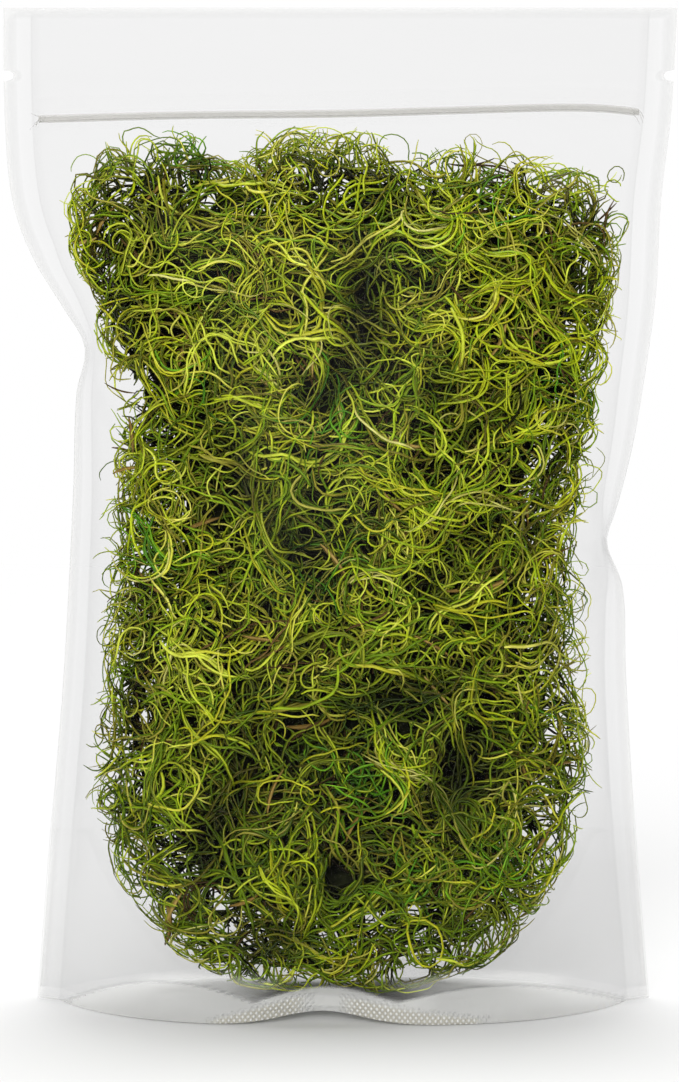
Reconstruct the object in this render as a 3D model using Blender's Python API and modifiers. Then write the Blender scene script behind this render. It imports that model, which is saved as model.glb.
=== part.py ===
"""A clear stand-up zip pouch filled with one tangled bunch of dyed Spanish moss.

Every size below is in millimetres, and MM turns it into Blender's metres. +Z is up, the origin is on
the surface that the pouch stands on, under its middle, and the front panel faces -Y.
"""

import math
import random

import bmesh
import bpy
from mathutils import Vector, kdtree, noise

MM = 0.001

# The pouch: its film, and its outline as seen from the front.
POUCH_HEIGHT = 335.0
FILM = 0.25
SEAL_WIDTH = 9.5
SEAL_GAP = 0.28  # from the middle plane to the middle of each panel where the two are sealed
LEFT_EDGE = (  # (height, x) of the left edge, with the pinch where the film folds over
    (0, -102.5), (60, -98), (110, -94), (170, -91), (205, -90),
    (221, -87.3), (235, -95), (250, -104), (270, -111), (300, -113.6), (335, -114),
)
RIGHT_EDGE = (
    (0, 104.5), (60, 99.8), (110, 97), (140, 96), (154, 91),
    (165, 94), (185, 99), (202, 102), (235, 106.5), (270, 108.5), (300, 112), (335, 114),
)
LEFT_SEAL = ((0, 8.0), (150, 7.5), (205, 6.0), (221, 4.0), (235, 7.0), (255, SEAL_WIDTH))
RIGHT_SEAL = ((0, 8.0), (130, 7.5), (154, 3.0), (170, 6.5), (200, 8.5), (240, SEAL_WIDTH))
HALF_DEPTH = (  # (height, half of the pouch's depth at its middle)
    (0, 40.5), (30, 42), (80, 40), (150, 34), (210, 27),
    (255, 18), (281, 7.5), (291, 3.4), (299, 2.5), (308, 2.4), (316, 0.8), (335, 0.7),
)
SIDE_ROUND, SIDE_POWER = 3.0, 0.8
NOTCH_X, NOTCH_HALF_WIDTH, NOTCH_DEPTH, NOTCH_HEIGHT, NOTCH_LIFT = -6.0, 18.0, 12.0, 45.0, 2.5
SKIRT_HEIGHT = 8.0  # the lowest band of each panel stands straight up

# The bottom gusset: a fold of film that is low in the middle and rises to the side seals.
GUSSET_LOW, GUSSET_RISE, GUSSET_REACH, GUSSET_POWER = 6.0, 50.0, 88.0, 3.0
GUSSET_TOP = 57.0
GUSSET_SAG = 2.5
FLANGE_GAP, FLANGE_GAP_FULL = 1.15, 2.2  # from a panel to the gusset: in the seals, and where they bulge
FLANGE_FOOT = 1.2
FLANGE_INSET = 0.8  # from the side edges of the panels to those of the gusset
GUSSET_LAYER = 1.4  # how much further apart the panels are where the gusset lies between them

# The zip: two tracks that run from seal to seal, one with a rib that sits in the other's channel.
ZIP_HEIGHT = 300.0
ZIP_MIDDLE, ZIP_HALF_LENGTH = -1.1, 99.0
ZIP_BOW = 1.6
ZIP_FACE = 1.95  # from the middle plane to the side of each flange that faces its panel
ZIP_FLANGE = 0.3
ZIP_HALF_WIDTH = 5.5
ZIP_BAND = 8.5  # how far above and below the zip's middle the panels stay apart for it

NOTCH_CUT_HEIGHT, NOTCH_CUT_SIZE = 312.0, 3.4

# The moss: its outline from the front as (x, height), and how it fills the pouch.
MOSS_CENTRE = (0.0, 150.0)
MOSS_OUTLINE = (
    (-84, 285), (-46, 289), (-14, 290), (14, 286), (44, 287), (75, 283), (92, 272), (93, 255),
    (91, 230), (89, 200), (84, 165), (82, 135), (82, 105), (85, 78), (80, 54), (68, 35),
    (52, 21), (30, 12), (0, 9), (-25, 12), (-48, 22), (-66, 37), (-80, 57), (-85, 78),
    (-81, 105), (-82, 135), (-79, 170), (-78, 200), (-80, 222), (-88, 248), (-93, 264), (-92, 277),
)
MOSS_CLEAR = 1.6
MOSS_ROUND = 6.0
CORE_DETAIL = 3
CORE_SHARE, CORE_OUTLINE, CORE_LESS, CORE_LEAST = 0.86, 0.90, 6.5, 1.5
LUMP_SIZE, LUMP_HEIGHT = 26.0, 3.2

# The strands that stand out of the moss's core. They are thicker than the real ones, so that they cover it.
STRANDS = 136
STRAND_TRIES = 40
STRAND_ROOM = 12.0
POINTS_BETWEEN = 4
STRAND_POINTS = 8
STRAND_STEP = (11.0, 15.0)
STRAND_RADIUS = (1.7, 2.5)
STRAND_ROOT = 3.0
LAYER_DROP = 4.4
STRAND_SEED = 12


def smooth(points, at):
    """The value at a position on a smooth curve through (position, value) points, level past both ends."""
    if at <= points[0][0]:
        return points[0][1]
    if at >= points[-1][0]:
        return points[-1][1]
    i = next(k for k in range(1, len(points)) if at <= points[k][0])
    (x0, y0), (x1, y1) = points[i - 1], points[i]
    before, after = points[max(i - 2, 0)], points[min(i + 1, len(points) - 1)]
    width = x1 - x0
    slope0 = (y1 - before[1]) / (x1 - before[0]) * width
    slope1 = (after[1] - y0) / (after[0] - x0) * width
    t = (at - x0) / width
    return (
        y0 * (2 * t**3 - 3 * t**2 + 1) + slope0 * (t**3 - 2 * t**2 + t)
        + y1 * (3 * t**2 - 2 * t**3) + slope1 * (t**3 - t**2)
    )


def ease(t):
    """0 below 0, 1 above 1, and a smooth step between them."""
    t = min(max(t, 0.0), 1.0)
    return t * t * (3 - 2 * t)


def seal_lines(z):
    """The x of the inner edges of the left and right side seals at a height."""
    left = smooth(LEFT_EDGE, z) + smooth(LEFT_SEAL, z)
    right = smooth(RIGHT_EDGE, z) - smooth(RIGHT_SEAL, z)
    return left, right


def seal_tilt(x, z):
    """How far back the film lies at x: a side seal that looks narrow from the front is turned away."""
    left, right = seal_lines(z)
    if x < left:
        width, past = smooth(LEFT_SEAL, z), left - x
    elif x > right:
        width, past = smooth(RIGHT_SEAL, z), x - right
    else:
        return 0.0
    return past / width * math.sqrt(max(SEAL_WIDTH**2 - width**2, 0.0))


def half_depth(x, z):
    """From the pouch's middle plane to the middle of a panel's film."""
    left, right = seal_lines(z)
    middle, half = (left + right) / 2, (right - left) / 2
    across = min(abs(x - middle) / half, 1.0)
    z = max(z, SKIRT_HEIGHT)
    bulge = smooth(HALF_DEPTH, z) * (1 - across**SIDE_ROUND) ** SIDE_POWER
    dent = math.exp(-(((x - NOTCH_X) / NOTCH_HALF_WIDTH) ** 2)) * (1 - ease(z / NOTCH_HEIGHT))
    bulge -= NOTCH_DEPTH * dent
    inside = ease((min(x - left, right - x)) / 3.0)
    over_zip = (ZIP_FACE + 0.5) * inside * (1 - ease((abs(z - ZIP_HEIGHT) - ZIP_BAND) / 6.0))
    sealed = SEAL_GAP + GUSSET_LAYER * (1 - ease((z - GUSSET_TOP) / 12.0))
    turned = SEAL_WIDTH / smooth(LEFT_SEAL if x < middle else RIGHT_SEAL, z)
    return max(bulge, over_zip, sealed * turned)


def columns(z, inner):
    """The x of a panel's columns at a height: each seal, a narrow column beside it, and the rest."""
    left, right = seal_lines(z)
    beside = 3.0
    low, high = left + beside, right - beside
    between = [low + (high - low) * i / inner for i in range(inner + 1)]
    return [smooth(LEFT_EDGE, z), left, *between, right, smooth(RIGHT_EDGE, z)]


def move_grid(mesh, place, columns_count, rows_count):
    """Gives a flat grid of (column, row) vertices its shape: place(column, row) is a point in millimetres."""
    for vertex in mesh.verts:
        column = round((vertex.co.x + 1) / 2 * columns_count)
        row = round((vertex.co.y + 1) / 2 * rows_count)
        vertex.co = Vector(place(column, row)) * MM


def add_object(name, mesh, collection, material=None):
    obj = bpy.data.objects.new(name, mesh)
    collection.objects.link(obj)
    if material:
        obj.data.materials.append(material)
    return obj


def film_sheet(name, place, columns_count, rows_count, collection, material):
    """A sheet of film as a grid of points, given its thickness by Solidify."""
    mesh = bmesh.new()
    bmesh.ops.create_grid(mesh, x_segments=columns_count, y_segments=rows_count, size=1.0)
    move_grid(mesh, place, columns_count, rows_count)
    bmesh.ops.recalc_face_normals(mesh, faces=mesh.faces)
    data = bpy.data.meshes.new(name)
    mesh.to_mesh(data)
    mesh.free()
    data.shade_smooth()
    obj = add_object(name, data, collection, material)
    solid = obj.modifiers.new("film_thickness", "SOLIDIFY")
    solid.thickness = FILM * MM
    solid.offset = 0.0
    solid.use_even_offset = True
    return obj


PANEL_ROWS = (
    0, SKIRT_HEIGHT, 22, 40, 58, 80, 104, 126, 142, 154, 167, 184, 203,
    221, 236, 252, 267, 281, 291, 300, 309, 316, POUCH_HEIGHT,
)
PANEL_INNER = 13


def panel(name, side, collection, material):
    """The front (side -1) or back (side +1) panel of the pouch."""

    def place(column, row):
        height = PANEL_ROWS[row]
        x = columns(height, PANEL_INNER)[column]
        lift = NOTCH_LIFT * math.exp(-(((x - NOTCH_X) / NOTCH_HALF_WIDTH) ** 2)) if row == 0 else 0.0
        lift = 0.0 if lift < 0.2 else lift
        return x, seal_tilt(x, height) + side * half_depth(x, height), height + lift

    obj = film_sheet(name, place, PANEL_INNER + 4, len(PANEL_ROWS) - 1, collection, material)
    for edge in ("left", "right"):
        cut = obj.modifiers.new(f"tear_notch_{edge}", "BOOLEAN")
        cut.operation = "DIFFERENCE"
        cut.object = bpy.data.objects[f"tear_notch_{edge}"]
    return obj


def tear_notch_cutters(collection):
    """The small prisms that cut a tear notch into each side edge, above the zip."""
    for edge, points in (("left", LEFT_EDGE), ("right", RIGHT_EDGE)):
        mesh = bmesh.new()
        bmesh.ops.create_cone(
            mesh, cap_ends=True, segments=4, radius1=NOTCH_CUT_SIZE * MM, radius2=NOTCH_CUT_SIZE * MM,
            depth=4 * SEAL_WIDTH * MM,
        )
        data = bpy.data.meshes.new(f"tear_notch_{edge}")
        mesh.to_mesh(data)
        mesh.free()
        cutter = add_object(f"tear_notch_{edge}", data, collection)
        cutter.rotation_euler = (math.pi / 2, 0, 0)
        cutter.location = Vector((smooth(points, NOTCH_CUT_HEIGHT), 0, NOTCH_CUT_HEIGHT)) * MM
        cutter.hide_render = True
        cutter.display_type = "WIRE"


def gusset_height(x):
    """The height of the gusset's floor at x, lowest in the middle of the pouch."""
    return min(GUSSET_LOW + GUSSET_RISE * (abs(x) / GUSSET_REACH) ** GUSSET_POWER, GUSSET_TOP)


def gusset(collection, material):
    """The bottom panel: up the inside of the front, across under the moss, and down the back."""
    flange_rows, floor_rows = 2, 6
    rows = 2 * flange_rows + floor_rows

    def place(column, row):
        x = columns(0, PANEL_INNER)[column]
        top = gusset_height(x)
        if row < flange_rows or row > rows - flange_rows:
            side = -1 if row < flange_rows else 1
            up = (row if side < 0 else rows - row) / flange_rows
            height = FLANGE_FOOT + NOTCH_LIFT * (1 - up) + (top - FLANGE_FOOT - NOTCH_LIFT * (1 - up)) * up
            share = side
        else:
            share = 2 * (row - flange_rows) / floor_rows - 1
            height = top - GUSSET_SAG * (1 - share**2) * ease((100 - abs(x)) / 30)
        edge = columns(height, PANEL_INNER)[column]
        if column in (0, PANEL_INNER + 4):
            edge -= math.copysign(FLANGE_INSET, edge)
        depth = half_depth(edge, height)
        reach = depth - FLANGE_GAP - (FLANGE_GAP_FULL - FLANGE_GAP) * ease((depth - 1.5) / 8)
        return edge, seal_tilt(edge, height) + share * reach, height

    return film_sheet("pouch_bottom_gusset", place, PANEL_INNER + 4, rows, collection, material)


def cross_section(name, points, collection):
    """A closed outline in millimetres, which a curve is given as its cross-section."""
    curve = bpy.data.curves.new(name, "CURVE")
    curve.dimensions = "2D"
    spline = curve.splines.new("POLY")
    spline.points.add(len(points) - 1)
    for point, (across, up) in zip(spline.points, points):
        point.co = (across * MM, up * MM, 0, 1)
    spline.use_cyclic_u = True
    obj = add_object(name, curve, collection)
    obj.hide_render = True
    return obj


def zip_track(name, points, collection, helpers, material):
    """A zip track: its cross-section run along a slightly bowed line from seal to seal."""
    profile = cross_section(f"{name}_profile", points, helpers)
    curve = bpy.data.curves.new(name, "CURVE")
    curve.dimensions = "3D"
    curve.twist_mode = "Z_UP"
    spline = curve.splines.new("POLY")
    stations = 9
    spline.points.add(stations - 1)
    for i, point in enumerate(spline.points):
        along = 2 * i / (stations - 1) - 1
        x = ZIP_MIDDLE + along * ZIP_HALF_LENGTH
        point.co = (x * MM, 0, (ZIP_HEIGHT + ZIP_BOW * (0.5 - along**2)) * MM, 1)
    curve.bevel_mode = "OBJECT"
    curve.bevel_object = profile
    curve.use_fill_caps = True
    return add_object(name, curve, collection, material)


def outline_radii():
    """The moss's outline as (angle, radius) about its centre, sorted and repeated past a full turn."""
    found = []
    for x, z in MOSS_OUTLINE:
        dx, dz = x - MOSS_CENTRE[0], z - MOSS_CENTRE[1]
        found.append((math.atan2(dz, dx), math.hypot(dx, dz)))
    found.sort()
    turn = 2 * math.pi
    return (
        [(angle - turn, radius) for angle, radius in found[-3:]] + found
        + [(angle + turn, radius) for angle, radius in found[:3]]
    )


RADII = outline_radii()


def outline_radius(angle):
    return smooth(RADII, angle)


def share_of_outline(x, z):
    """0 at the moss's centre, 1 on its outline."""
    dx, dz = x - MOSS_CENTRE[0], z - MOSS_CENTRE[1]
    return math.hypot(dx, dz) / outline_radius(math.atan2(dz, dx))


def moss_half_depth(x, z):
    """From the middle plane to the outermost strands: the moss fills the pouch and rounds off at its outline."""
    round_off = max(1 - share_of_outline(x, z) ** MOSS_ROUND, 0.0) ** 0.5
    return max(half_depth(x, z) - MOSS_CLEAR, 0.0) * round_off


def lumps(x, z, side):
    """How far the core's surface stands out or in: rounded hanks with grooves between them."""
    point = Vector((x / LUMP_SIZE, side * 2.7, z / LUMP_SIZE))
    return LUMP_HEIGHT * (1 - 2.6 * abs(noise.noise(point))) - 0.4 * LUMP_HEIGHT


def core_half_depth(x, z, side):
    """From the middle plane to the core's surface."""
    grown = 1 / CORE_OUTLINE
    outer = (MOSS_CENTRE[0] + (x - MOSS_CENTRE[0]) * grown, MOSS_CENTRE[1] + (z - MOSS_CENTRE[1]) * grown)
    full = moss_half_depth(*outer)
    surface = full * CORE_SHARE - CORE_LESS * ease(full / 6) + lumps(x, z, side) * ease(full / 14)
    return max(surface, CORE_LEAST)


def moss_core(collection, material):
    """The dense middle of the bunch, which the strands stand out of."""
    mesh = bmesh.new()
    bmesh.ops.create_icosphere(mesh, subdivisions=CORE_DETAIL, radius=1.0)
    for vertex in mesh.verts:
        across, front, up = vertex.co
        side = -1 if front < 0 else 1
        radius = outline_radius(math.atan2(up, across)) * CORE_OUTLINE
        x, z = MOSS_CENTRE[0] + across * radius, MOSS_CENTRE[1] + up * radius
        depth = core_half_depth(x, z, side) if abs(front) > 1e-6 else 0.0
        vertex.co = Vector((x, side * depth, z)) * MM
    data = bpy.data.meshes.new("moss_bunch")
    mesh.to_mesh(data)
    mesh.free()
    return add_object("moss_bunch", data, collection, material)


def fold_over(x, z, side):
    """A place past the moss's outline, brought back over its edge to the other side."""
    share = share_of_outline(x, z)
    if share <= 1:
        return x, z, side
    back = (2 - share) / share
    return MOSS_CENTRE[0] + (x - MOSS_CENTRE[0]) * back, MOSS_CENTRE[1] + (z - MOSS_CENTRE[1]) * back, -side


def strand_path(draw, drop, free_tip):
    """The points of one strand: out of the core, curling over it, and back in, or out to a free tip."""
    angle = draw.uniform(-math.pi, math.pi)
    start = outline_radius(angle) * draw.uniform(0.0, 1.0) ** 0.5
    x, z = MOSS_CENTRE[0] + math.cos(angle) * start, MOSS_CENTRE[1] + math.sin(angle) * start
    side = draw.choice((-1, 1))
    heading = draw.uniform(-math.pi, math.pi)
    turn = draw.uniform(0.1, 0.7) * draw.choice((-1, 1))
    length = draw.uniform(*STRAND_STEP)
    path = []
    for step in range(STRAND_POINTS):
        px, pz, pside = fold_over(x, z, side)
        outer = max(moss_half_depth(px, pz) - drop, 0.0)
        inner = min(core_half_depth(px, pz, pside), outer)
        along = step / (STRAND_POINTS - 1)
        rise = math.sin(math.pi * (along if not free_tip else along * 0.6)) ** 0.6
        depth = inner - STRAND_ROOT + (outer - inner + STRAND_ROOT) * rise
        path.append((px, pside * max(depth, 0.0), pz))
        x += math.cos(heading) * length
        z += math.sin(heading) * length
        if draw.random() < 0.25:
            turn = -turn
        heading += turn * draw.uniform(0.5, 1.4)
    return path


def points_along(path):
    """The path's points with more between them."""
    found = [path[-1]]
    for start, end in zip(path, path[1:]):
        for i in range(POINTS_BETWEEN):
            found.append(Vector(start).lerp(end, i / POINTS_BETWEEN))
    return found


def emptiest_path(draw, drop, free_tip, placed):
    """Of several strands drawn at random, the one that lies furthest from those already placed."""
    tree = kdtree.KDTree(len(placed))
    for i, point in enumerate(placed):
        tree.insert(point, i)
    tree.balance()

    def room(path):
        return sum(min(tree.find(point)[2] or 0.0, STRAND_ROOM) for point in points_along(path))

    paths = [strand_path(draw, drop, free_tip) for _ in range(STRAND_TRIES)]
    return max(paths, key=room) if placed else paths[0]


def strand_mesh(name, path, radius):
    """A three-sided tube along a path, thinner towards both ends."""
    profile = bpy.data.objects["strand_profile"]
    curve = bpy.data.curves.new(name, "CURVE")
    curve.dimensions = "3D"
    spline = curve.splines.new("POLY")
    spline.points.add(len(path) - 1)
    for i, (point, place) in enumerate(zip(spline.points, path)):
        point.co = (*(value * MM for value in place), 1)
        point.radius = radius * (0.62 + 0.38 * math.sin(math.pi * (i + 0.5) / len(path)))
    curve.bevel_mode = "OBJECT"
    curve.bevel_object = profile
    curve.use_fill_caps = True
    guide = bpy.data.objects.new(name, curve)
    bpy.context.scene.collection.objects.link(guide)
    graph = bpy.context.evaluated_depsgraph_get()
    data = bpy.data.meshes.new_from_object(guide.evaluated_get(graph))
    bpy.data.objects.remove(guide)
    bpy.data.curves.remove(curve)
    mesh = bmesh.new()
    mesh.from_mesh(data)
    bmesh.ops.remove_doubles(mesh, verts=mesh.verts, dist=1e-6)
    bmesh.ops.recalc_face_normals(mesh, faces=mesh.faces)
    mesh.to_mesh(data)
    mesh.free()
    return data


def strand_profile(collection):
    """The three-sided cross-section that the strands share, one millimetre in radius."""
    corners = [(math.cos(angle), math.sin(angle)) for angle in (0.0, 2 * math.pi / 3, 4 * math.pi / 3)]
    return cross_section("strand_profile", corners, collection)


def keep_outer_body(data):
    """Leaves only the largest body of a mesh: sealed hollows are filled and loose scraps dropped."""
    mesh = bmesh.new()
    mesh.from_mesh(data)
    left, bodies = set(mesh.faces), []
    while left:
        body, edge = set(), [left.pop()]
        while edge:
            face = edge.pop()
            body.add(face)
            for other in (f for side in face.edges for f in side.link_faces):
                if other in left:
                    left.remove(other)
                    edge.append(other)
        bodies.append(body)
    largest = max(bodies, key=len)
    bmesh.ops.delete(mesh, geom=[f for f in mesh.faces if f not in largest], context="FACES")
    mesh.to_mesh(data)
    mesh.free()


def moss_bunch(collection, helpers, material):
    """The whole bunch as one body: the core with every strand joined to it."""
    bunch = moss_core(collection, material)
    strand_profile(helpers)
    strands = bpy.data.collections.new("moss_strands")
    bpy.context.scene.collection.children.link(strands)
    draw = random.Random(STRAND_SEED)
    placed = []
    for i in range(STRANDS):
        radius = draw.uniform(*STRAND_RADIUS)
        path = emptiest_path(draw, radius + i % 2 * LAYER_DROP, i % 3 == 0, placed)
        placed += points_along(path)
        add_object(f"strand_{i}", strand_mesh(f"strand_{i}", path, radius), strands)
    join = bunch.modifiers.new("strands", "BOOLEAN")
    join.operation = "UNION"
    join.operand_type = "COLLECTION"
    join.collection = strands
    join.solver = "MANIFOLD"
    graph = bpy.context.evaluated_depsgraph_get()
    joined = bpy.data.meshes.new_from_object(bunch.evaluated_get(graph))
    bunch.modifiers.clear()
    bunch.data = joined
    for obj in list(strands.objects):
        bpy.data.objects.remove(obj)
    bpy.data.collections.remove(strands)
    keep_outer_body(joined)
    return bunch


def make_material(name, colour, roughness, alpha=1.0):
    material = bpy.data.materials.new(name)
    material.use_nodes = True
    shader = material.node_tree.nodes["Principled BSDF"]
    shader.inputs["Base Color"].default_value = (*colour, 1.0)
    shader.inputs["Roughness"].default_value = roughness
    shader.inputs["Metallic"].default_value = 0.0
    shader.inputs["Alpha"].default_value = alpha
    return material


def make_collection(name):
    collection = bpy.data.collections.new(name)
    bpy.context.scene.collection.children.link(collection)
    return collection


def main():
    for obj in list(bpy.data.objects):
        bpy.data.objects.remove(obj)
    parts = make_collection("spanish_moss_pouch")
    helpers = make_collection("cutters_and_guides")

    clear_film = make_material("clear_film", (0.93, 0.94, 0.94), 0.15, alpha=0.2)
    zip_plastic = make_material("zip_plastic", (0.80, 0.80, 0.79), 0.35, alpha=0.7)
    moss = make_material("moss", (0.23, 0.29, 0.04), 0.7)

    tear_notch_cutters(helpers)
    panel("pouch_front_panel", -1, parts, clear_film)
    panel("pouch_back_panel", 1, parts, clear_film)
    gusset(parts, clear_film)

    face, flange = ZIP_FACE, ZIP_FACE - ZIP_FLANGE
    half = ZIP_HALF_WIDTH
    rib = [
        (flange, -half), (flange, -0.35), (-0.35, -0.35), (-0.35, -0.75), (-1.1, 0.0), (-0.35, 0.75),
        (-0.35, 0.35), (flange, 0.35), (flange, half), (face, half), (face, -half),
    ]
    channel = [
        (-face, -half), (-face, half), (-flange, half), (-flange, 1.75), (0.85, 1.75), (0.85, 0.7),
        (0.25, 0.7), (0.25, 1.15), (-1.45, 1.15), (-1.45, -1.15), (0.25, -1.15), (0.25, -0.7),
        (0.85, -0.7), (0.85, -1.75), (-flange, -1.75), (-flange, -half),
    ]
    zip_track("zip_rib_track", rib, parts, helpers, zip_plastic)
    zip_track("zip_channel_track", channel, parts, helpers, zip_plastic)

    moss_bunch(parts, helpers, moss)


main()
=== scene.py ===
import math

import bpy
import numpy as np
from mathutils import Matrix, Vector


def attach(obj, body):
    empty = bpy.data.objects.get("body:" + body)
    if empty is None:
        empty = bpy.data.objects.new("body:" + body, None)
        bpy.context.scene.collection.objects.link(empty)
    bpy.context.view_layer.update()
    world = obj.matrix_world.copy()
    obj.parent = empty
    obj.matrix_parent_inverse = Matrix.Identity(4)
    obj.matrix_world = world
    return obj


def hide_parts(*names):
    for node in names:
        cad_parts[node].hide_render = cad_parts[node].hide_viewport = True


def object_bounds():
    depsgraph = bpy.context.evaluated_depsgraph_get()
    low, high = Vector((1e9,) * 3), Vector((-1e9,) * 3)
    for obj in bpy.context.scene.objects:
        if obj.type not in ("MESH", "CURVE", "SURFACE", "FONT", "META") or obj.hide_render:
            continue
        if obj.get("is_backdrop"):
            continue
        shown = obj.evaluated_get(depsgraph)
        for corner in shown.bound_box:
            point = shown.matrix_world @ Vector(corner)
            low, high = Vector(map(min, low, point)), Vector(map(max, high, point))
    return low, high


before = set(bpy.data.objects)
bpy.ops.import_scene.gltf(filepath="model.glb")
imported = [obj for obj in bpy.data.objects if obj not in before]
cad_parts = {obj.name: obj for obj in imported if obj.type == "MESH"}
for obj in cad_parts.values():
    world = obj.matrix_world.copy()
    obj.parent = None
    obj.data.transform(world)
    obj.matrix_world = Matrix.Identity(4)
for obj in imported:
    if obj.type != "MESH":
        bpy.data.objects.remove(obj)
CAD_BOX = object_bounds()

# Lengths are in millimetres. x runs to the right, y to the back and z up, as in the model.
MM = 0.001
SEED = 7

# The pouch, by the same formulas as its solids: (height, value) points.
POUCH_HEIGHT = 335.0
FILM = 0.22
SEAL_WIDTH = 9.5
SEAL_GAP = 0.28
LEFT_EDGE = (
    (0, -102.5), (60, -98), (110, -94), (170, -91), (205, -90), (221, -87.3), (235, -95), (250, -104),
    (270, -111), (300, -113.6), (335, -114),
)
RIGHT_EDGE = (
    (0, 104.5), (60, 99.8), (110, 97), (140, 96), (154, 91), (165, 94), (185, 99), (202, 102),
    (235, 106.5), (270, 108.5), (300, 112), (335, 114),
)
LEFT_SEAL = ((0, 8.0), (150, 7.5), (205, 6.0), (221, 4.0), (235, 7.0), (255, SEAL_WIDTH))
RIGHT_SEAL = ((0, 8.0), (130, 7.5), (154, 3.0), (170, 6.5), (200, 8.5), (240, SEAL_WIDTH))
HALF_DEPTH = (
    (0, 40.5), (30, 42), (80, 40), (150, 34), (210, 27), (255, 18), (281, 7.5), (291, 3.4), (299, 2.5),
    (308, 2.4), (316, 0.8), (335, 0.7),
)
SIDE_ROUND, SIDE_POWER = 3.0, 0.8
NOTCH_X, NOTCH_HALF_WIDTH, NOTCH_DEPTH, NOTCH_HEIGHT, NOTCH_LIFT = -6.0, 18.0, 12.0, 45.0, 2.5
SKIRT_HEIGHT = 8.0
GUSSET_LOW, GUSSET_RISE, GUSSET_REACH, GUSSET_POWER, GUSSET_TOP = 6.0, 50.0, 88.0, 3.0, 57.0
GUSSET_SAG, SAG_END, SAG_SOFT = 2.5, 100.0, 30.0
FLANGE_GAP, FLANGE_GAP_FULL, FLANGE_FOOT, FLANGE_INSET, GUSSET_LAYER = 1.15, 2.2, 1.2, 0.8, 1.4
FLANGE_THIN, FLANGE_SOFT, LAYER_SOFT, INNER_SOFT = 1.5, 8.0, 12.0, 3.0
ZIP_HEIGHT, ZIP_BAND, ZIP_SOFT, ZIP_FACE = 300.0, 8.5, 6.0, 1.95
ZIP_BULGE = ZIP_FACE + 0.5
TEAR_HEIGHT, TEAR_DEPTH, TEAR_HALF = 312.0, 3.4, 2.0

# The moss
MOSS_CENTRE = (0.0, 150.0)
MOSS_OUTLINE = (
    (-85, 287), (-62, 292), (-46, 292), (-37, 284), (-27, 293), (0, 295), (14, 292), (22, 288), (44, 291),
    (60, 287), (76, 284), (84, 281), (95, 277), (97, 262), (94, 236), (90, 205), (84, 165), (83, 135),
    (83, 105), (86, 78), (80, 52), (68, 32), (52, 16), (32, 6), (0, 2), (-34, 5), (-54, 16), (-70, 32),
    (-81, 54), (-85, 78), (-82, 105), (-82, 135), (-79, 170), (-78, 200), (-82, 222), (-90, 246),
    (-94, 262), (-92, 277),
)
MOSS_CLEAR = 1.2
# Its depth rounds off at the outline by the first power, and by the second one low down.
MOSS_ROUND, MOSS_ROUND_LOW, ROUND_BELOW, ROUND_OVER = 6.0, 36.0, 75.0, 45.0
MOSS_TOP = 295.2


def smooth(points, at):
    """Values on a smooth curve through (position, value) points, level past both ends."""
    places, values = np.array(points, float).T
    last = len(places) - 1
    before = np.maximum(np.arange(last + 1) - 1, 0)
    after = np.minimum(np.arange(last + 1) + 1, last)
    slopes = (values[after] - values[before]) / (places[after] - places[before])
    i = np.clip(np.searchsorted(places, at), 1, last)
    width = places[i] - places[i - 1]
    t = np.clip((at - places[i - 1]) / width, 0, 1)
    return (
        values[i - 1] * (2 * t**3 - 3 * t**2 + 1) + slopes[i - 1] * width * (t**3 - 2 * t**2 + t)
        + values[i] * (3 * t**2 - 2 * t**3) + slopes[i] * width * (t**3 - t**2)
    )


def ease(t):
    """0 below 0, 1 above 1, and a smooth step between them."""
    t = np.clip(t, 0, 1)
    return t * t * (3 - 2 * t)


def seal_lines(z):
    """The x of the inner edges of the side seals at a height."""
    return smooth(LEFT_EDGE, z) + smooth(LEFT_SEAL, z), smooth(RIGHT_EDGE, z) - smooth(RIGHT_SEAL, z)


def along_line(x, z, x0, z0, degrees):
    """How far places lie along and off a line that runs from (x0, z0) at an angle."""
    way = math.radians(degrees)
    along = (x - x0) * math.cos(way) + (z - z0) * math.sin(way)
    return along, (z - z0) * math.cos(way) - (x - x0) * math.sin(way)


def notch(x):
    """1 in the middle of the dent at the bottom, 0 well beside it."""
    return np.exp(-(((x - NOTCH_X) / NOTCH_HALF_WIDTH) ** 2))


def past_seals(x, z):
    """How far x is past the inner edge of the nearer side seal, below 0 inside the pouch."""
    left, right = seal_lines(z)
    return np.maximum(left - x, x - right)


def seal_tilt(x, z):
    """How far back the film lies at x: a side seal that looks narrow from the front is turned away."""
    width = np.where(x < 0, smooth(LEFT_SEAL, z), smooth(RIGHT_SEAL, z))
    past = np.maximum(past_seals(x, z), 0)
    return past / width * np.sqrt(np.maximum(SEAL_WIDTH**2 - width**2, 0))


def film_depth(x, z):
    """From the pouch's middle plane to the middle of a panel's film."""
    left, right = seal_lines(z)
    middle, half = (left + right) / 2, (right - left) / 2
    across = np.minimum(np.abs(x - middle) / half, 1)
    raised = np.maximum(z, SKIRT_HEIGHT)
    bulge = smooth(HALF_DEPTH, raised) * (1 - across**SIDE_ROUND) ** SIDE_POWER
    dent = notch(x) * (1 - ease(raised / NOTCH_HEIGHT))
    inside = ease(np.minimum(x - left, right - x) / INNER_SOFT)
    over_zip = ZIP_BULGE * inside * (1 - ease((np.abs(raised - ZIP_HEIGHT) - ZIP_BAND) / ZIP_SOFT))
    sealed = SEAL_GAP + GUSSET_LAYER * (1 - ease((raised - GUSSET_TOP) / LAYER_SOFT))
    turned = SEAL_WIDTH / np.where(x < middle, smooth(LEFT_SEAL, raised), smooth(RIGHT_SEAL, raised))
    return np.maximum(np.maximum(bulge - NOTCH_DEPTH * dent, over_zip), sealed * turned)


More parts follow.
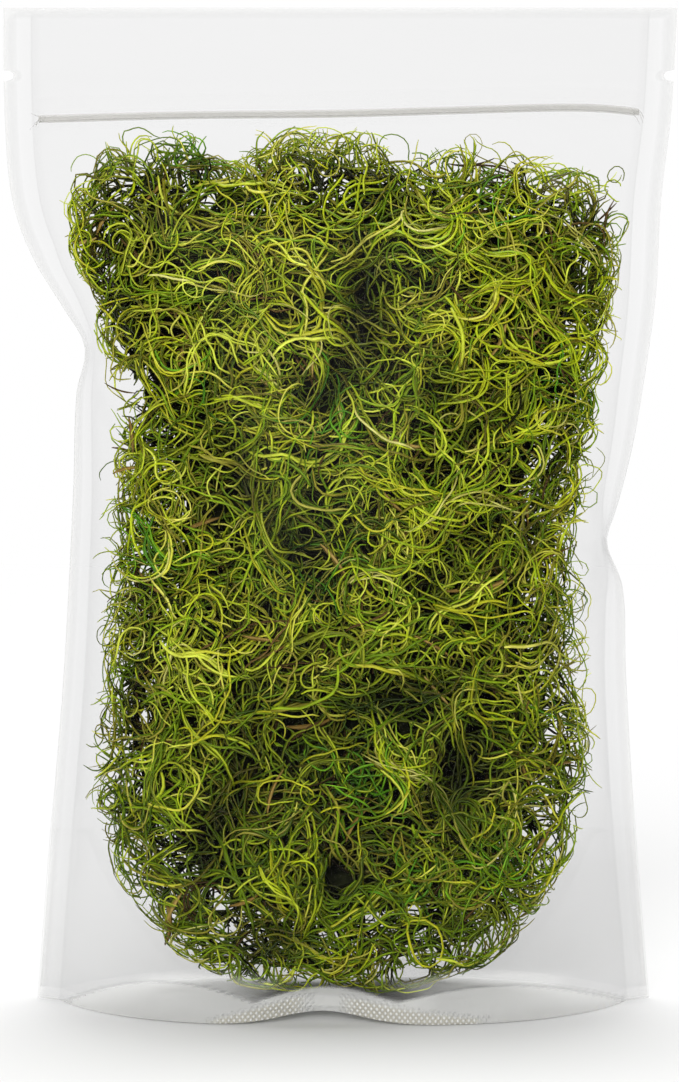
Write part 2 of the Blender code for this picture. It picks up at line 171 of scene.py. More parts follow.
def gusset_height(x):
    """The height of the gusset's floor at x, lowest in the middle of the pouch."""
    return np.minimum(GUSSET_LOW + GUSSET_RISE * (np.abs(x) / GUSSET_REACH) ** GUSSET_POWER, GUSSET_TOP)


def outline_radii():
    """The moss's outline as (angle, radius) about its centre, sorted and repeated past a full turn."""
    dx, dz = (np.array(MOSS_OUTLINE) - MOSS_CENTRE).T
    found = sorted(zip(np.arctan2(dz, dx), np.hypot(dx, dz)))
    turn = 2 * math.pi
    return (
        [(angle - turn, radius) for angle, radius in found[-3:]] + found
        + [(angle + turn, radius) for angle, radius in found[:3]]
    )


RADII = outline_radii()


def share_of_outline(x, z):
    """0 at the moss's centre, 1 on its outline."""
    dx, dz = x - MOSS_CENTRE[0], z - MOSS_CENTRE[1]
    return np.hypot(dx, dz) / smooth(RADII, np.arctan2(dz, dx))


def inside_outline(x, z):
    """How far inside the moss's outline a place is, in millimetres towards its centre."""
    dx, dz = x - MOSS_CENTRE[0], z - MOSS_CENTRE[1]
    return smooth(RADII, np.arctan2(dz, dx)) - np.hypot(dx, dz)


def moss_depth(x, z):
    """From the middle plane to the outermost strands: rounded off at the outline, less so at the foot."""
    power = MOSS_ROUND + (MOSS_ROUND_LOW - MOSS_ROUND) * ease((ROUND_BELOW - z) / ROUND_OVER)
    round_off = np.sqrt(np.maximum(1 - share_of_outline(x, z) ** power, 0))
    return np.maximum(film_depth(x, z) - MOSS_CLEAR, 0) * round_off


# Meshes and pieces


def new_object(name, data):
    """An object in the scene."""
    obj = bpy.data.objects.new(name, data)
    bpy.context.scene.collection.objects.link(obj)
    return obj


def mesh_piece(name, points, faces, materials, attributes=(), smooth_shaded=True):
    """A mesh object that rides on the part, from points in millimetres and index faces."""
    mesh = bpy.data.meshes.new(name)
    mesh.from_pydata((points.reshape(-1, 3) * MM).tolist(), [], faces)
    for attribute, values in attributes:
        stored = mesh.attributes.new(attribute, "FLOAT", "POINT")
        stored.data.foreach_set("value", np.asarray(values, np.float32).ravel())
    if smooth_shaded:
        mesh.shade_smooth()
    for material in materials:
        mesh.materials.append(material)
    obj = new_object(name, mesh)
    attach(obj, "root")
    return obj


def ring_faces(rows, columns):
    """The quads between closed rings of points, and the two ends."""
    index = np.arange(rows * columns).reshape(rows, columns)
    after = np.roll(index, -1, 1)
    walls = np.stack([index[:-1], index[1:], after[1:], after[:-1]], axis=-1)
    return walls.reshape(-1, 4).tolist() + [index[0].tolist(), index[-1, ::-1].tolist()]


def grid_faces(rows, columns):
    """The quads between rows x columns points."""
    index = np.arange(rows * columns).reshape(rows, columns)
    return np.stack(
        [index[:-1, :-1], index[:-1, 1:], index[1:, 1:], index[1:, :-1]], axis=-1
    ).reshape(-1, 4).tolist()


def film_sheet(name, grid, cloud, white, materials, pressed=None):
    """A sheet of film on a (row, column, xyz) grid of points, given its thickness by Solidify."""
    rows, columns, _ = grid.shape
    shades = [("cloud", cloud), ("white", white)]
    if pressed is not None:
        shades.append(("pressed", pressed))
    obj = mesh_piece(name, grid, grid_faces(rows, columns), materials, shades)
    if pressed is not None:
        at_corners = (pressed[:-1, :-1] + pressed[1:, :-1] + pressed[:-1, 1:] + pressed[1:, 1:]) > 0
        obj.data.polygons.foreach_set("material_index", at_corners.ravel().astype(np.int32))
    solid = obj.modifiers.new("film_thickness", "SOLIDIFY")
    solid.thickness = FILM * MM
    solid.offset = 0.0
    return obj


# Node helpers


def new_material(name, roughness, specular):
    """A material, its node tree and its shader."""
    material = bpy.data.materials.new(name)
    material.use_nodes = True
    shader = material.node_tree.nodes["Principled BSDF"]
    shader.inputs["Roughness"].default_value = roughness
    shader.inputs["Specular IOR Level"].default_value = specular
    return material, material.node_tree, shader


def node(tree, kind, **settings):
    made = tree.nodes.new(kind)
    for key, value in settings.items():
        if key in made.inputs:
            made.inputs[key].default_value = value
        else:
            setattr(made, key, value)
    return made


def attribute(tree, name):
    return node(tree, "ShaderNodeAttribute", attribute_name=name).outputs["Fac"]


def ramp(tree, source, stops):
    """A colour ramp with (position, colour) stops, fed by source."""
    made = node(tree, "ShaderNodeValToRGB")
    elements = made.color_ramp.elements
    while len(elements) < len(stops):
        elements.new(0.5)
    for element, (position, colour) in zip(elements, stops):
        element.position = position
        element.color = (*colour, 1)
    tree.links.new(source, made.inputs["Fac"])
    return made.outputs["Color"]


def math_node(tree, operation, a, b):
    made = node(tree, "ShaderNodeMath", operation=operation)
    for socket, value in zip(made.inputs, (a, b)):
        if isinstance(value, (int, float)):
            socket.default_value = value
        else:
            tree.links.new(value, socket)
    return made.outputs["Value"]


def multiply(tree, a, b):
    """Two colours multiplied."""
    made = node(tree, "ShaderNodeMix", data_type="RGBA", blend_type="MULTIPLY")
    made.inputs["Factor"].default_value = 1.0
    tree.links.new(a, made.inputs[6])
    tree.links.new(b, made.inputs[7])
    return made.outputs[2]


def noise(tree, scale, detail=3.0):
    """Noise in the object's own metres."""
    place = node(tree, "ShaderNodeTexCoord").outputs["Object"]
    made = node(tree, "ShaderNodeTexNoise", Scale=scale, Detail=detail)
    tree.links.new(place, made.inputs["Vector"])
    return made.outputs["Fac"]


def bump(tree, height, distance, shader, strength=1.0):
    made = node(tree, "ShaderNodeBump", Distance=distance * MM, Strength=strength)
    tree.links.new(height, made.inputs["Height"])
    tree.links.new(made.outputs["Normal"], shader.inputs["Normal"])


# Materials


def film_material(name, dull, pale, gloss):
    """Clear film: a surface stops the share of light in its cloud attribute, and more at a glance."""
    material, tree, shader = new_material(name, 0.14, 0.12)
    # The white attribute paints pale reflections and highlights onto the film.
    colour = ramp(tree, attribute(tree, "white"), ((0.0, dull), (1.0, pale)))
    tree.links.new(colour, shader.inputs["Base Color"])
    glance = node(tree, "ShaderNodeLayerWeight", Blend=0.5)
    edge = math_node(tree, "POWER", glance.outputs["Facing"], 5.0)
    edge = math_node(tree, "MULTIPLY", edge, gloss)
    tree.links.new(math_node(tree, "ADD", attribute(tree, "cloud"), edge), shader.inputs["Alpha"])
    return material


KNURL_TURN, KNURL_SCALE, KNURL_CLOUD = 0.7, 230.0, 0.16


def knurled_material(dull, pale):
    """The pressed pattern of the heat seal along the bottom: rows of small raised dots, painted with
    highlights and shade.
    """
    material, tree, shader = new_material("knurled_seal", 0.25, 0.3)
    waves = []
    for rotation in (KNURL_TURN, -KNURL_TURN):
        place = node(tree, "ShaderNodeTexCoord").outputs["Object"]
        turned = node(tree, "ShaderNodeMapping", Rotation=(0.0, rotation, 0.0))
        tree.links.new(place, turned.inputs["Vector"])
        made = node(tree, "ShaderNodeTexWave", Scale=KNURL_SCALE)
        tree.links.new(turned.outputs["Vector"], made.inputs["Vector"])
        waves.append(made.outputs["Fac"])
    dots = math_node(tree, "MULTIPLY", *waves)
    pressed = attribute(tree, "pressed")
    # Painted highlights and shade of the raised dots: dark between them and brighter than white on their
    # tops.
    stops = ((0.0, (0.72, 0.69, 0.6)), (0.35, (0.88, 0.87, 0.83)), (0.6, (1.3, 1.3, 1.3)))
    dot_highlight_and_shade = ramp(tree, dots, stops)
    flat = ramp(tree, attribute(tree, "white"), ((0.0, dull), (1.0, pale)))
    patterned = multiply(tree, flat, dot_highlight_and_shade)
    mix = node(tree, "ShaderNodeMix", data_type="RGBA")
    tree.links.new(pressed, mix.inputs["Factor"])
    tree.links.new(flat, mix.inputs[6])
    tree.links.new(patterned, mix.inputs[7])
    tree.links.new(mix.outputs[2], shader.inputs["Base Color"])
    raised = math_node(tree, "MULTIPLY", pressed, KNURL_CLOUD)
    tree.links.new(math_node(tree, "ADD", raised, attribute(tree, "cloud")), shader.inputs["Alpha"])
    bump(tree, dots, 0.3, shader)
    return material


def strand_material(name, dark, middle, light, roughness, sheen):
    """Plant fibre: a tint for each strand, painted lighter at the edge and with painted shade where deep,
    mottled along its length.
    """
    material, tree, shader = new_material(name, roughness, sheen)
    tint_and_light = ramp(tree, attribute(tree, "tint_and_light"), ((0.0, dark), (0.5, middle), (1.0, light)))
    # Painted shade: the deeper a strand lies, the darker it is.
    depth_shade = ramp(
        tree, attribute(tree, "depth_shade"),
        ((0.0, (1.0, 1.0, 1.0)), (0.4, (0.4, 0.41, 0.28)), (1.0, (0.05, 0.05, 0.02))),
    )
    mottle = ramp(
        tree, noise(tree, 240.0),
        ((0.3, (0.72, 0.68, 0.55)), (0.7, (1.15, 1.15, 1.15))),
    )
    colour = multiply(tree, multiply(tree, tint_and_light, depth_shade), mottle)
    tree.links.new(colour, shader.inputs["Base Color"])
    bump(tree, noise(tree, 2600.0, 2.0), 0.08, shader, 0.6)
    return material


def core_material():
    """The rough, nearly black surface of the moss's inside: painted shade that shows between the strands.
    """
    material, tree, shader = new_material("moss_inside_shade", 0.9, 0.1)
    stops = ((0.35, (0.004, 0.005, 0.002)), (0.7, (0.03, 0.035, 0.01)))
    colour = ramp(tree, noise(tree, 380.0, 6.0), stops)
    tree.links.new(colour, shader.inputs["Base Color"])
    return material


# Film pieces

PANEL_INNER, PANEL_ROWS, LOW_ROWS, TEAR_ROWS = 72, 84, 24, 9
LOW_ROWS_TOP, UPPER_ROWS_FROM = 16.0, 18.0
# Columns and rows close to the outer edge and to the seal line keep both sharp.
RIM_STEP, SEAL_OUTER, SEAL_INNER = 0.35, (0.5, 0.1), 0.4
# How cloudy the film is: in all, less in the seals, more on the seal line, and with painted shade on the
# folds and low down
CLEAR, SEAL_CLEARER, SEAL_SOFT = 0.032, 0.012, 0.5
SEAL_LINE, SEAL_LINE_WIDTH, FOLD_SHADE_CLOUD = 0.02, 0.45, 0.02
LOW_SHADE_CLOUD, LOW_SHADE_TOP = 0.03, 250.0
# The cut rims get a painted highlight, the foot most of all: rows outside these heights, their cloud and
# whiteness
RIM_BELOW, RIM_ABOVE, RIM_CLOUD, RIM_WHITE = 0.3, 334.6, 0.1, 0.75
FOOT_CLOUD, FOOT_WHITE = 0.4, 1.0
# Where the front panel's bottom bulges forward, a pale painted reflection: (from x, to x, height,
# whiteness)
LOBES = ((-92.0, -16.0, 12.8, 0.9), (2.0, 96.0, 12.0, 0.95), (-42.0, 34.0, 10.5, 0.95))
LOBE_CLOUD, LOBE_SOFT, LOBE_POWER = 0.29, 1.6, 0.8
# The gusset gets a pale painted reflection too, in the front half of the middle, where its floor is folded.
GUSSET_REFLECTION_CLOUD, GUSSET_REFLECTION_HALF, GUSSET_REFLECTION_SOFT = 0.3, 22.0, 16.0
GUSSET_REFLECTION_BEFORE, GUSSET_REFLECTION_OVER = 0.2, 0.6
GUSSET_CLOUD, GUSSET_CLOUD_TOP = 0.016, 48.0
FLANGE_ROWS, GUSSET_ROWS = 10, 40
# Painted reflection on the front panel above its lobes: (x, z, half width, half height)
REFLECTION_VEILS = ((-43.0, 11.5, 16.0, 3.0), (46.0, 12.0, 19.0, 3.0))
VEIL_CLOUD, VEIL_WHITE, VEIL_SOFT = 0.14, 0.95, 0.25
# The pressed pattern along the bottom: (from x, to x, height at the first, height at the second)
KNURLED = ((-43.0, -11.0, 1.5, 8.5), (0.0, 46.0, 8.0, 2.0))
# Creases that run out of the pinched sides: (x, z, degrees, length, width, height)
CREASES = (
    (-84, 221, -28, 46, 2.2, 0.7), (-84, 223, 24, 40, 2.4, 0.6), (-86, 214, -62, 50, 2.0, 0.5),
    (88, 154, -100, 62, 1.6, 0.8), (87, 150, -82, 80, 1.8, 0.7), (88, 158, 112, 44, 2.2, 0.6),
    (86, 152, 170, 26, 2.2, 0.5), (-95, 30, 75, 44, 2.6, 0.5), (96, 30, 104, 50, 2.6, 0.5),
    (-104, 262, -70, 34, 2.0, 0.4), (101, 262, -108, 40, 2.0, 0.4),
)
# How far they sway to the side, over what length, and how soon before their start they fade in
CREASE_SWAY, CREASE_SWAY_LENGTH, CREASE_START = 1.2, 9, 6


def creases(x, z):
    """The raised folds of the film near its pinches, in millimetres."""
    raised = np.zeros(np.shape(x))
    for x0, z0, degrees, length, width, height in CREASES:
        along, off = along_line(x, z, x0, z0, degrees)
        off = off + CREASE_SWAY * np.sin(along / CREASE_SWAY_LENGTH)
        fade = ease(along / CREASE_START + 1) * (1 - ease(along / length))
        raised = np.maximum(raised, height * fade * np.exp(-((off / width) ** 2)))
    return raised


def panel_columns(z):
    """The x of a panel's columns at heights z, with close pairs along the outer edge and the seal line."""
    left, right = seal_lines(z)
    edge_left, edge_right = smooth(LEFT_EDGE, z), smooth(RIGHT_EDGE, z)
    torn = TEAR_DEPTH * np.sqrt(np.clip(1 - ((z - TEAR_HEIGHT) / TEAR_HALF) ** 2, 0, 1))
    edge_left, edge_right = edge_left + torn, edge_right - torn

    def outer(edge, seal, way):
        beside = [seal - step * way for step in SEAL_OUTER]
        return np.stack([edge, edge + RIM_STEP * way, (edge + seal) / 2, *beside], axis=1)

    share = np.linspace(0, 1, PANEL_INNER)
    inner = (left + SEAL_INNER)[:, None] + (right - left - 2 * SEAL_INNER)[:, None] * share
    return np.concatenate([outer(edge_left, left, 1), inner, outer(edge_right, right, -1)[:, ::-1]], axis=1)


def panel_rows():
    """The heights of a panel's rows: even, and close together low down, at the tears and at the rims."""
    return np.unique(np.concatenate([
        np.linspace(UPPER_ROWS_FROM, POUCH_HEIGHT, PANEL_ROWS),
        np.linspace(TEAR_HEIGHT - TEAR_HALF, TEAR_HEIGHT + TEAR_HALF, TEAR_ROWS),
        np.linspace(0, LOW_ROWS_TOP, LOW_ROWS),
        [RIM_STEP, POUCH_HEIGHT - RIM_STEP],
    ]))


def lobes(x, z):
    """How far the painted reflection on the front panel's bulging base shows at (x, z), from 0 to 1, and
    how white it is there.
    """
    shown, weight, white = 0 * x, 1e-6 + 0 * x, 0 * x
    for start, end, height, whiteness in LOBES:
        top = height * np.sin(math.pi * np.clip((x - start) / (end - start), 0, 1)) ** LOBE_POWER
        lobe = ease((top - z) / LOBE_SOFT + 0.5)
        shown, weight, white = np.maximum(shown, lobe), weight + lobe, white + lobe * whiteness
    return shown, shown * white / weight


def pressed_share(x, z):
    """How strong the pressed pattern is, fading out at its ends and its upper edge."""
    pressed = 0 * x
    for start, end, first, second in KNURLED:
        along = np.clip((x - start) / (end - start), 0, 1)
        height = first + (second - first) * along
        strip = ease((height - z) / 1.5) * ease((x - start) / 5) * ease((end - x) / 4)
        pressed = np.maximum(pressed, strip)
    return pressed


def panel_shades(x, z, side, fold):
    """How cloudy, how white and how strongly pressed a panel is at its points: the white is painted
    reflection and highlight, and the cloud holds painted shade too.
    """
    outside = past_seals(x, z)
    # Painted shade: the film darkens towards the bottom.
    low = LOW_SHADE_CLOUD * np.clip(1 - z / LOW_SHADE_TOP, 0, 1)
    cloud = CLEAR - SEAL_CLEARER * ease(outside / SEAL_SOFT) + low
    # Painted shade along the folds.
    cloud = cloud + FOLD_SHADE_CLOUD * fold + SEAL_LINE * np.exp(-((outside / SEAL_LINE_WIDTH) ** 2))
    white, pressed = 0 * x, 0 * x
    if side < 0:
        # Painted reflection on the front panel's bulging base.
        shown, white = lobes(x, z)
        # Painted reflection above the lobes.
        reflection_veil = sum(
            np.exp(-(((x - x0) / wide) ** 2) - ((z - z0) / high) ** 2) for x0, z0, wide, high in REFLECTION_VEILS
        )
        cloud = cloud + LOBE_CLOUD * shown + VEIL_CLOUD * reflection_veil * (1 - shown)
        white = np.maximum(white, VEIL_WHITE * ease(reflection_veil / VEIL_SOFT) * (1 - shown))
        pressed = pressed_share(x, z)
    # Painted highlight along the cut rims, strongest at the foot of the front panel.
    rim = (z < RIM_BELOW) | (z > RIM_ABOVE)
    rim[:, :2] = True
    rim[:, -2:] = True
    cloud, white = np.where(rim, np.maximum(cloud, RIM_CLOUD), cloud), np.where(rim, RIM_WHITE, white)
    foot = (z < RIM_BELOW) & (side < 0)
    return np.where(foot, FOOT_CLOUD, cloud), np.where(foot, FOOT_WHITE, white), pressed


def film_panel(name, side, materials):
    """The front (side -1) or back (side +1) panel, with its seals and tear notches."""
    z = panel_rows()
    x = panel_columns(z)
    z = np.repeat(z[:, None], x.shape[1], axis=1)
    fold = creases(x, z) * (1 - ease(past_seals(x, z) / 2 + 1))
    lift = NOTCH_LIFT * notch(x) * (1 - ease(z / SKIRT_HEIGHT))
    y = seal_tilt(x, z) + side * (film_depth(x, z) + fold)
    cloud, white, pressed = panel_shades(x, z, side, fold)
    obj = film_sheet(name, np.stack([x, y, z + lift], axis=2), cloud, white, materials, pressed)
    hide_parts("pouch_front_panel" if side < 0 else "pouch_back_panel")


def film_gusset(material):
    """The bottom panel: up the inside of the front, across under the moss, and down the back."""
    rows = 2 * FLANGE_ROWS + GUSSET_ROWS
    flat = np.tile(panel_columns(np.zeros(1)), (rows + 1, 1))
    row = np.arange(rows + 1)[:, None] + 0 * flat
    top = gusset_height(flat)
    flange = (row < FLANGE_ROWS) | (row > rows - FLANGE_ROWS)
    side = np.where(row < rows / 2, -1, 1)
    up = np.where(side < 0, row, rows - row) / FLANGE_ROWS
    foot = FLANGE_FOOT + NOTCH_LIFT * (1 - up)
    share = np.where(flange, side, 2 * (row - FLANGE_ROWS) / GUSSET_ROWS - 1)
    sag = GUSSET_SAG * (1 - share**2) * ease((SAG_END - np.abs(flat)) / SAG_SOFT)
    z = np.where(flange, foot + (top - foot) * up, top - sag)
    x = np.stack([panel_columns(z[:, i])[:, i] for i in range(z.shape[1])], axis=1)
    x[:, 0] += FLANGE_INSET
    x[:, -1] -= FLANGE_INSET
    depth = film_depth(x, z)
    reach = depth - FLANGE_GAP - (FLANGE_GAP_FULL - FLANGE_GAP) * ease((depth - FLANGE_THIN) / FLANGE_SOFT)
    y = seal_tilt(x, z) + share * reach
    # Pale painted reflection over the front of the gusset's middle.
    middle = 1 - ease((np.abs(x) - GUSSET_REFLECTION_HALF) / GUSSET_REFLECTION_SOFT)
    gusset_reflection = ease((GUSSET_REFLECTION_BEFORE - share) / GUSSET_REFLECTION_OVER) * middle
    cloud = GUSSET_CLOUD * (1 - ease(z / GUSSET_CLOUD_TOP)) + GUSSET_REFLECTION_CLOUD * gusset_reflection
    obj = film_sheet("film_gusset", np.stack([x, y, z], axis=2), cloud, gusset_reflection, [material])
    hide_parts("pouch_bottom_gusset")


# The zip: a tape along each film, and on the tapes a rib and the two hooks that hold it

ZIP_LINE = ((-104, 297.2), (-58, 298.5), (0, 299.2), (40, 300.3), (74, 301.2), (90, 300.8), (103, 299.4))
ZIP_ENDS = (-102.0, 101.0)
ZIP_GAP, ZIP_CRUSHED = 0.12, 0.08
TAPE_BELOW, TAPE_ABOVE, TAPE_THICK = 3.6, 7.0, 0.2
TAPE_CLOUD, RAIL_CLOUD = 0.004, 0.4
# Sections as (up, in from the film): the tape with a rib, or with the two hooks that hold it. What lies
# within RAIL_HALF of the middle is the cloudy rail.
RAIL_HALF = 0.92
TAPE_LOW = ((-TAPE_BELOW, 0), (-TAPE_BELOW, TAPE_THICK), (-0.95, TAPE_THICK))
TAPE_HIGH = (
    (0.95, TAPE_THICK), (TAPE_ABOVE, TAPE_THICK), (TAPE_ABOVE, 0), (0.95, 0), (0.85, 0), (-0.85, 0),
    (-0.95, 0),
)
RIB = (
    *TAPE_LOW, (-0.85, TAPE_THICK), (-0.22, TAPE_THICK), (-0.22, 1.6), (-0.45, 1.7), (-0.1, 2.5),
    (0.1, 2.5), (0.45, 1.7), (0.22, 1.6), (0.22, TAPE_THICK), (0.85, TAPE_THICK), *TAPE_HIGH,
)
CHANNEL = (
    *TAPE_LOW, (-0.88, 0.4), (-0.88, 2.1), (-0.52, 2.1), (-0.62, 1.5), (-0.62, 0.6), (0.62, 0.6),
    (0.62, 1.5), (0.52, 2.1), (0.88, 2.1), (0.88, 0.4), *TAPE_HIGH,
)
ZIP_STATIONS = 90


def zip_track(name, section, side, node_name, material):
    """One half of the zip, swept along its line and crushed where the side seals hold it."""
    up, inward = np.array(section, float).T
    x = np.linspace(*ZIP_ENDS, ZIP_STATIONS)[:, None] + 0 * up
    centre = smooth(ZIP_LINE, x)
    z = centre + up
    face = film_depth(x, z) - FILM / 2 - ZIP_GAP
    room = np.clip(film_depth(x, centre) / ZIP_BULGE, ZIP_CRUSHED, 1)
    y = side * (face - inward * room)
    rail = np.abs(up) < RAIL_HALF
    points = np.stack([x, y + seal_tilt(x, z), z], axis=2)
    faces = ring_faces(*x.shape)
    if side > 0:
        faces = [face[::-1] for face in faces]
    cloud = np.where(rail, RAIL_CLOUD, TAPE_CLOUD) + 0 * x
    obj = mesh_piece(name, points, faces, [material], (("cloud", cloud), ("white", 0 * x)), False)
    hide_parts(node_name)


# The crushed ends of the zip: short frayed bits, each a few (x, z) points
FRAYED = (
    ((-101.5, 298.2), (-103.0, 298.6), (-104.8, 299.3)),
    ((-101.5, 297.2), (-102.6, 296.6), (-103.6, 295.8)),
    ((-101.5, 296.6), (-103.4, 295.4), (-105.0, 293.9)),
    ((-101.5, 297.8), (-102.7, 296.0), (-103.0, 294.8)),
    ((100.8, 299.6), (101.6, 298.2), (102.4, 296.0)),
    ((99.0, 298.9), (100.3, 297.4), (101.3, 295.4)),
    ((100.8, 300.2), (101.8, 299.4), (102.6, 297.6)),
)
FRAYED_POINTS, FRAYED_RADII, FRAYED_CLOUD = 7, (0.34, 0.12), 0.2


def frayed_ends(material):
    """The torn wisps of plastic at the zip's ends."""
    places = np.array(FRAYED)
    steps = np.linspace(0, 2, FRAYED_POINTS)
    low = np.minimum(steps.astype(int), 1)
    part = (steps - low)[None, :, None]
    bent = places[:, low] * (1 - part) + places[:, low + 1] * part
    x, z = bent[..., 0], bent[..., 1]
    paths = np.stack([x, seal_tilt(x, z), z], axis=2)
    radii = np.linspace(*FRAYED_RADII, FRAYED_POINTS) + 0 * x
    corners, faces = tubes(paths, radii)
    cloud = np.full(len(corners), FRAYED_CLOUD)
    shades = (("cloud", cloud), ("white", 0 * cloud))
    obj = mesh_piece("zip_frayed_ends", corners, faces, [material], shades)


# Moss strands

# The direction of the strands follows a sum of waves of these lengths.
SWIRL_LENGTHS, SWIRL_WAVES = (34.0, 110.0), 22
# Thin places in the moss, kept free of strands: (x, z, half width, half height)
GAPS = (
    (-40, 293, 3.6, 9.0), (62, 293, 9.0, 4.0), (-1, 46, 4.0, 3.0), (24, 15, 4.5, 2.5), (-88, 235, 5.0, 8.0),
)
# Hollows between the clumps, where strands lie deeper: (x, z, degrees, half length, half width, depth)
HOLLOWS = (
    (8, 232, 88, 20, 8, 7.0), (-4, 204, 30, 11, 6, 4.0), (33, 205, 110, 9, 7, 3.5),
    (-29, 172, -62, 14, 5, 5.0), (-14, 150, -50, 12, 5, 4.5), (18, 103, 8, 24, 7, 5.0),
    (38, 78, 80, 16, 8, 6.5), (-36, 70, 72, 15, 6, 4.5), (-44, 54, 75, 11, 5, 3.5),
    (73, 122, 85, 15, 7, 4.0), (-22, 26, 5, 13, 7, 5.0), (-2, 47, 60, 8, 5, 4.0),
    (62, 155, 70, 12, 6, 3.0), (44, 158, 20, 12, 5, 3.0), (-70, 100, 80, 14, 5, 3.0),
    (-60, 262, 20, 12, 6, 2.5),
)
# Patches of fresher green: (x, z, radius)
FRESH = (
    (-51, 206, 7), (-3, 193, 10), (-5, 145, 9), (49, 267, 10), (76, 208, 8), (6, 74, 12), (27, 46, 7),
    (50, 51, 9), (-62, 150, 6), (-47, 286, 6), (70, 100, 7),
)
# Clumps of brighter strands: (x, z, radius)
BRIGHT = (
    (-17, 219, 13), (-65, 221, 12), (8, 191, 13), (-65, 130, 13), (12, 130, 15), (-52, 256, 18),
    (23, 78, 12), (-51, 111, 12), (-17, 278, 14), (72, 268, 12), (46, 182, 10), (-46, 168, 17),
    (62, 112, 10), (-8, 100, 9), (-52, 78, 15),
)
BRIGHTER = 0.3


def hollow_depth(x, z):
    """How much deeper the strands lie at (x, z) in the hollows between clumps."""
    deeper = 0 * x
    for x0, z0, degrees, long, wide, depth in HOLLOWS:
        along, off = along_line(x, z, x0, z0, degrees)
        deeper = deeper + depth * np.exp(-((along / long) ** 2) - (off / wide) ** 2)
    return deeper


def patch_share(patches, x, z):
    """1 inside one of the patches, 0 well outside all of them."""
    return sum(np.exp(-(((x - x0) ** 2 + (z - z0) ** 2) / radius**2)) for x0, z0, radius in patches)


def swirl(rng):
    """A random smooth field of directions: angles at (x, z)."""
    length = rng.uniform(*SWIRL_LENGTHS, SWIRL_WAVES)
    way = rng.uniform(0, 2 * math.pi, SWIRL_WAVES)
    phase = rng.uniform(0, 2 * math.pi, SWIRL_WAVES)
    kx, kz = 2 * math.pi / length * np.cos(way), 2 * math.pi / length * np.sin(way)

    def angle(x, z):
        turned = np.cos(x[..., None] * kx + z[..., None] * kz + phase) * length
        return np.arctan2(-(turned * kx).sum(-1), (turned * kz).sum(-1))

    return angle


# The x and z ranges that places are drawn from
MOSS_SPACE = ((-95, 95), (6, 292))


def places_inside(rng, count, edge, within=POUCH_HEIGHT):
    """Random (x, z) places from edge to within millimetres inside the moss's outline."""
    x, z = np.empty(0), np.empty(0)
    while len(x) < count:
        tried_x, tried_z = (rng.uniform(*span, count * 2) for span in MOSS_SPACE)
        inside = inside_outline(tried_x, tried_z)
        kept = (inside > edge) & (inside < within)
        x, z = np.append(x, tried_x[kept]), np.append(z, tried_z[kept])
    return x[:count], z[:count]


# A strand's bend is forgotten over about this length.
BEND_MEMORY = 6.5
# A lock's heading strays from the field by this much, in radians. Up to TURN_BAND inside its edge, it
# starts to turn back over TURN_SOFT, within about TURN_LENGTH.
HEADING_STRAY, TURN_BAND, TURN_SOFT, TURN_LENGTH = 0.6, 14, 7, 5.0


def grow(rng, kind, field):
    """The guide line of each lock: (lock, point) arrays of x, z and heading, grown step by step."""
    count, step = kind["locks"], kind["step"]
    x, z = places_inside(rng, count, kind["edge"] + 2, kind.get("within", POUCH_HEIGHT))
    heading = field(x, z) + rng.choice([0, math.pi], count) + rng.normal(0, HEADING_STRAY, count)
    own_bend = rng.choice([-1, 1], count) / rng.uniform(*kind["curl"], count)
    memory = math.exp(-step / BEND_MEMORY)
    bend = own_bend + rng.normal(0, kind["wander"], count)
    turn_at = kind["edge"] + rng.uniform(0, TURN_BAND, count)
    lines = []
    for _ in range(kind["points"]):
        lines.append((x, z, heading))
        stray = rng.normal(0, kind["wander"], count) * (1 - memory**2) ** 0.5
        bend = own_bend + (bend - own_bend) * memory + stray
        heading = heading + bend * step + kind["follow"] * step * np.sin(2 * (field(x, z) - heading))
        inward = np.arctan2(MOSS_CENTRE[1] - z, MOSS_CENTRE[0] - x)
        push = ease((turn_at - inside_outline(x, z)) / TURN_SOFT)
        heading = heading + push * step / TURN_LENGTH * np.sin(inward - heading)
        x, z = x + step * np.cos(heading), z + step * np.sin(heading)
    return [np.stack(part, axis=1) for part in zip(*lines)]


# Each strand has two ripples: (largest size, range of radians along it).
RIPPLES, RIPPLE_LEAST = ((1.5, (6, 13)), (0.5, (14, 25))), 0.2
WEAVE_LEAST, WEAVE_TURNS, ANY_PHASE = 0.5, (3, 9), (0, 6.3)
# Strands keep FLOOR_CLEAR above the gusset, bent up over about FLOOR_SOFT, and towards the sides each one
# keeps up to FLOOR_STRAY more.
FLOOR_CLEAR, FLOOR_SOFT, FLOOR_STRAY, FLOOR_SIDE = 0.8, 1.0, 8.0, 45
# Strands end SEAL_CLEAR from the side seals, and raggedly at the outline. This share of the cut ones stays.
SEAL_CLEAR, RAGGED, RAGGED_MOST, TRIMMED_SHARE = 0.8, (1.6, 2.0), 4.5, 0.55


def along_rows(values, place):
    """Each row of values read at fractional places, which is what a strand needs to be cut short."""
    low = np.clip(place.astype(int), 0, values.shape[1] - 2)
    part = place - low
    return np.take_along_axis(values, low, 1) * (1 - part) + np.take_along_axis(values, low + 1, 1) * part


